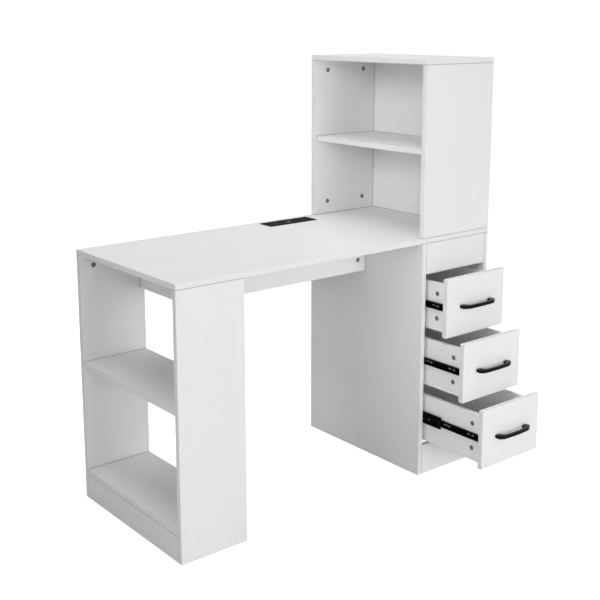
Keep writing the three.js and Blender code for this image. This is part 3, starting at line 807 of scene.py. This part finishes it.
def handle_mesh(half_length, projection, height):
    """A bow handle with faceted shoulders; x along it, y from the drawer's face outward as -y."""
    end, foot = half_length, half_length - HANDLE_FOOT
    outer = projection - HANDLE_BOW
    inner = outer - HANDLE_BAR
    # The left foot's end face and its round corner, its facet, and the shoulder's turn into the bar
    left = [(-end, 0), (-end, -12.5 * MM)]
    left += quadratic(left[-1], (-end, -15.5 * MM), (2.5 * MM - end, -17 * MM), 3)
    corner = Vector(left[-1])
    facet = Vector((-foot - 4 * MM, 2.2 * MM - outer)) - corner
    left += [tuple(corner + facet * share) for share in (0.12, 0.88, 1)]
    left += quadratic(left[-1], (-foot, 0.2 * MM - outer), (5 * MM - foot, -outer), 3)
    crown = quadratic(left[-1], (0, -outer - 2 * HANDLE_BOW), (foot - 5 * MM, -outer), 24)
    # The right foot's inner face, its turn into the bar, and the bar's under side
    inside = [(foot, 0), (foot, -5 * MM)]
    inside += quadratic(inside[-1], (foot - 0.5 * MM, 1.5 * MM - inner), (foot - 12 * MM, -inner), 6)
    under = quadratic(inside[-1], (0, -inner - 2 * HANDLE_BOW), (12 * MM - foot, -inner), 24)
    outline = left + crown + flipped(left[:-1]) + inside + under + flipped(inside[:-1])
    form = prism(outline, "z", -height / 2, height / 2)
    rims = [edge for edge in form.edges if edge.verts[0].co.z == edge.verts[1].co.z]
    bmesh.ops.bevel(form, geom=rims, offset=HANDLE_EASE, segments=2, profile=0.55, affect="EDGES")
    for vertex in form.verts:
        along = min(1.0, abs(vertex.co.x) / foot)
        rise = min(1.0, -vertex.co.y / HANDLE_FULL)
        vertex.co.z *= HANDLE_WAIST + (1 - HANDLE_WAIST) * along ** 2
        vertex.co.z *= HANDLE_SOLE + (1 - HANDLE_SOLE) * rise
    return mesh_of("handle", form)


def dress_handles():
    screw = screw_mesh(*PULL_SCREW)
    for number in DRAWERS:
        low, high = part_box(f"drawer_{number}_handle")
        body = f"drawer_{number}"
        mesh = handle_mesh((high.x - low.x) / 2, high.y - low.y, high.z - low.z)
        centre = Vector(((low.x + high.x) / 2, high.y, (low.z + high.z) / 2))
        pull = put(f"drawer_{number}_pull", mesh, "black_alloy", body, centre)
        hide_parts(f"drawer_{number}_handle")
        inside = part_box(f"drawer_{number}_front")[1].y
        for side, x in zip(SIDES, (low.x + HANDLE_SCREW, high.x - HANDLE_SCREW)):
            put(f"drawer_{number}_pull_screw_{side}", screw, "bright_steel", body, (x, inside, centre.z),
                (0, 1, 0))


def add_back_screws():
    """Two flat-headed screws through each drawer side into the drawer's back."""
    screw = screw_mesh(*BACK_SCREW)
    for number in DRAWERS:
        low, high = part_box(f"drawer_{number}_back")
        for face, (side, sign) in enumerate(zip(SIDES, (-1, 1))):
            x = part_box(f"drawer_{number}_{side}_side")[face].x - sign * BACK_SCREW_SINK
            for count, share in enumerate(BACK_SCREWS_AT, 1):
                spot = (x, (low.y + high.y) / 2, low.z + (high.z - low.z) * share)
                put(f"drawer_{number}_back_screw_{side}_{count}", screw, "bright_steel",
                    f"drawer_{number}", spot, (sign, 0, 0))


dress_handles()
add_back_screws()


# ---- Power strip -------------------------------------------------------------------------------------

OUTLET_OFFSET = 26 * MM
BLADE_OFFSET, BLADE_BACK, BLADE_SINK = 6.3 * MM, 2 * MM, 1.6 * MM
BLADES = (("live", -1, 6.6 * MM), ("neutral", 1, 8 * MM))       # name, side and length
# A contact leaf's line: how far it is from the middle of its slot, and its height from the slot's mouth
CONTACT_LEAF = ((0.95 * MM, 0), (0.45 * MM, -2.2 * MM), (0.95 * MM, -7 * MM))
CONTACT_SHEET = 0.3 * MM
PORT_PITCH, PORT_WIDTH, PORT_LENGTH = 7.8 * MM, 4.9 * MM, 12.4 * MM
PORT_DEPTH, PORT_WALL, PORT_SINK = 7 * MM, 0.3 * MM, 0.3 * MM
PORT_FLARE = 0.15 * MM
TONGUE_SHIFT, TONGUE_WIDTH, TONGUE_DROP = 0.85 * MM, 1.9 * MM, 1.5 * MM
PAD_GAP = 0.1 * MM            # from the tongue to the pads' middle
PAD_COUNT, PAD_PITCH, PAD_WIDTH, PAD_SHEET = 4, 2.4 * MM, 1 * MM, 0.12 * MM
PAD_LINE = ((0, -5 * MM), (0, -0.6 * MM), (0.12 * MM, -0.1 * MM))

BOOT_TIP, BOOT_BORE, BOOT_BORE_DEPTH = 5 * MM, 3.2 * MM, 4 * MM       # radii, and how deep the bore runs
BOOT_RIM, BOOT_RIM_EASE = 3 * MM, 0.6 * MM
BOOT_RIBS, BOOT_RIBS_START, BOOT_RIB_PITCH, BOOT_RIB_WIDTH = 4, 4 * MM, 4.2 * MM, 2.4 * MM
BOOT_TAPER_INSET, BOOT_GROOVE = 0.8 * MM, 0.9 * MM
BOOT_GROOVE_SIDES = (0.5 * MM, 1.3 * MM)        # from a rib's end to its groove's start and end
BOOT_EASE = (1 * MM, 0.5 * MM)                  # along the tip's end and across it


def contact_mesh(length):
    """A blade contact: two sprung leaves that pinch towards their middle, seen down the slot."""
    forms = []
    for sign in (-1, 1):
        line = [(sign * x, z) for x, z in CONTACT_LEAF]
        leaf = strip_section(line, CONTACT_SHEET, 1.5 * MM)
        forms.append(prism(leaf, "y", -length / 2, length / 2))
    return mesh_of("contact", merge(forms))


def shell_mesh():
    """A port's pressed steel shell, flared at its mouth."""
    forms = []
    for width, length, axis in ((PORT_WIDTH, PORT_LENGTH, "y"), (PORT_LENGTH, PORT_WIDTH, "x")):
        for sign in (-1, 1):
            edge = sign * (width / 2 - PORT_WALL)
            line = [(edge, -PORT_DEPTH), (edge, -0.5 * MM), (edge + sign * PORT_FLARE, 0)]
            wall = strip_section(line, PORT_WALL / 2, 0.3 * MM)
            forms.append(prism(wall, axis, PORT_WALL - length / 2, length / 2 - PORT_WALL))
    return mesh_of("shell", merge(forms))


def pads_mesh():
    """The contact pads along a port's tongue."""
    forms = []
    for i in range(PAD_COUNT):
        start = (i - (PAD_COUNT - 1) / 2) * PAD_PITCH - PAD_WIDTH / 2
        pad = strip_section(PAD_LINE, PAD_SHEET, 0.2 * MM)
        forms.append(prism(pad, "y", start, start + PAD_WIDTH))
    return mesh_of("pads", merge(forms))


def dress_power_strip():
    low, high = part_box("power_strip_faceplate")
    centre = Vector(((low.x + high.x) / 2, (low.y + high.y) / 2, high.z))
    for side, x in zip(SIDES, (-OUTLET_OFFSET, OUTLET_OFFSET)):
        for kind, sign, length in BLADES:
            spot = centre + Vector((x + sign * BLADE_OFFSET, BLADE_BACK, -BLADE_SINK))
            put(f"outlet_{side}_{kind}", contact_mesh(length), "bright_steel", "desk", spot)
    low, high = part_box("power_strip_port_insert")
    centre = Vector(((low.x + high.x) / 2, (low.y + high.y) / 2, high.z))
    for side, sign in zip(SIDES, (-1, 1)):
        mouth = centre + Vector((sign * PORT_PITCH / 2, 0, 0))
        put(f"port_{side}_shell", shell_mesh(), "bright_steel", "desk", mouth - Vector((0, 0, PORT_SINK)))
        tongue = mouth + Vector((TONGUE_SHIFT - TONGUE_WIDTH / 2 - PAD_GAP, 0, -TONGUE_DROP))
        put(f"port_{side}_pads", pads_mesh(), "bright_steel", "desk", tongue)


def strain_relief():
    """The cord gland's boot: a tapered sleeve with grooves and a bore for the cord."""
    low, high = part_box("power_strip_gland")
    length, radius = high.y - low.y, (high.x - low.x) / 2
    profile = [(0, 0), (radius, 0), (radius, BOOT_RIM - BOOT_RIM_EASE),
               (radius - BOOT_RIM_EASE, BOOT_RIM)]
    base = radius - BOOT_TAPER_INSET
    for i in range(BOOT_RIBS):
        start = BOOT_RIBS_START + i * BOOT_RIB_PITCH
        outer = base - (base - BOOT_TIP) * start / length
        end = start + BOOT_RIB_WIDTH
        profile += [(outer, start), (outer, end)]
        profile += [(outer - BOOT_GROOVE, end + side) for side in BOOT_GROOVE_SIDES]
    profile += [(BOOT_TIP, length - BOOT_EASE[0]), (BOOT_TIP - BOOT_EASE[1], length), (BOOT_BORE, length),
                (BOOT_BORE, length - BOOT_BORE_DEPTH), (0, length - BOOT_BORE_DEPTH)]
    spot = ((low.x + high.x) / 2, low.y, (low.z + high.z) / 2)
    mesh = mesh_of("strain_relief", lathe(profile, steps=32))
    boot = put("power_strip_strain_relief", mesh, "black_plastic", "desk", spot, (0, 1, 0))
    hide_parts("power_strip_gland")


dress_power_strip()
strain_relief()
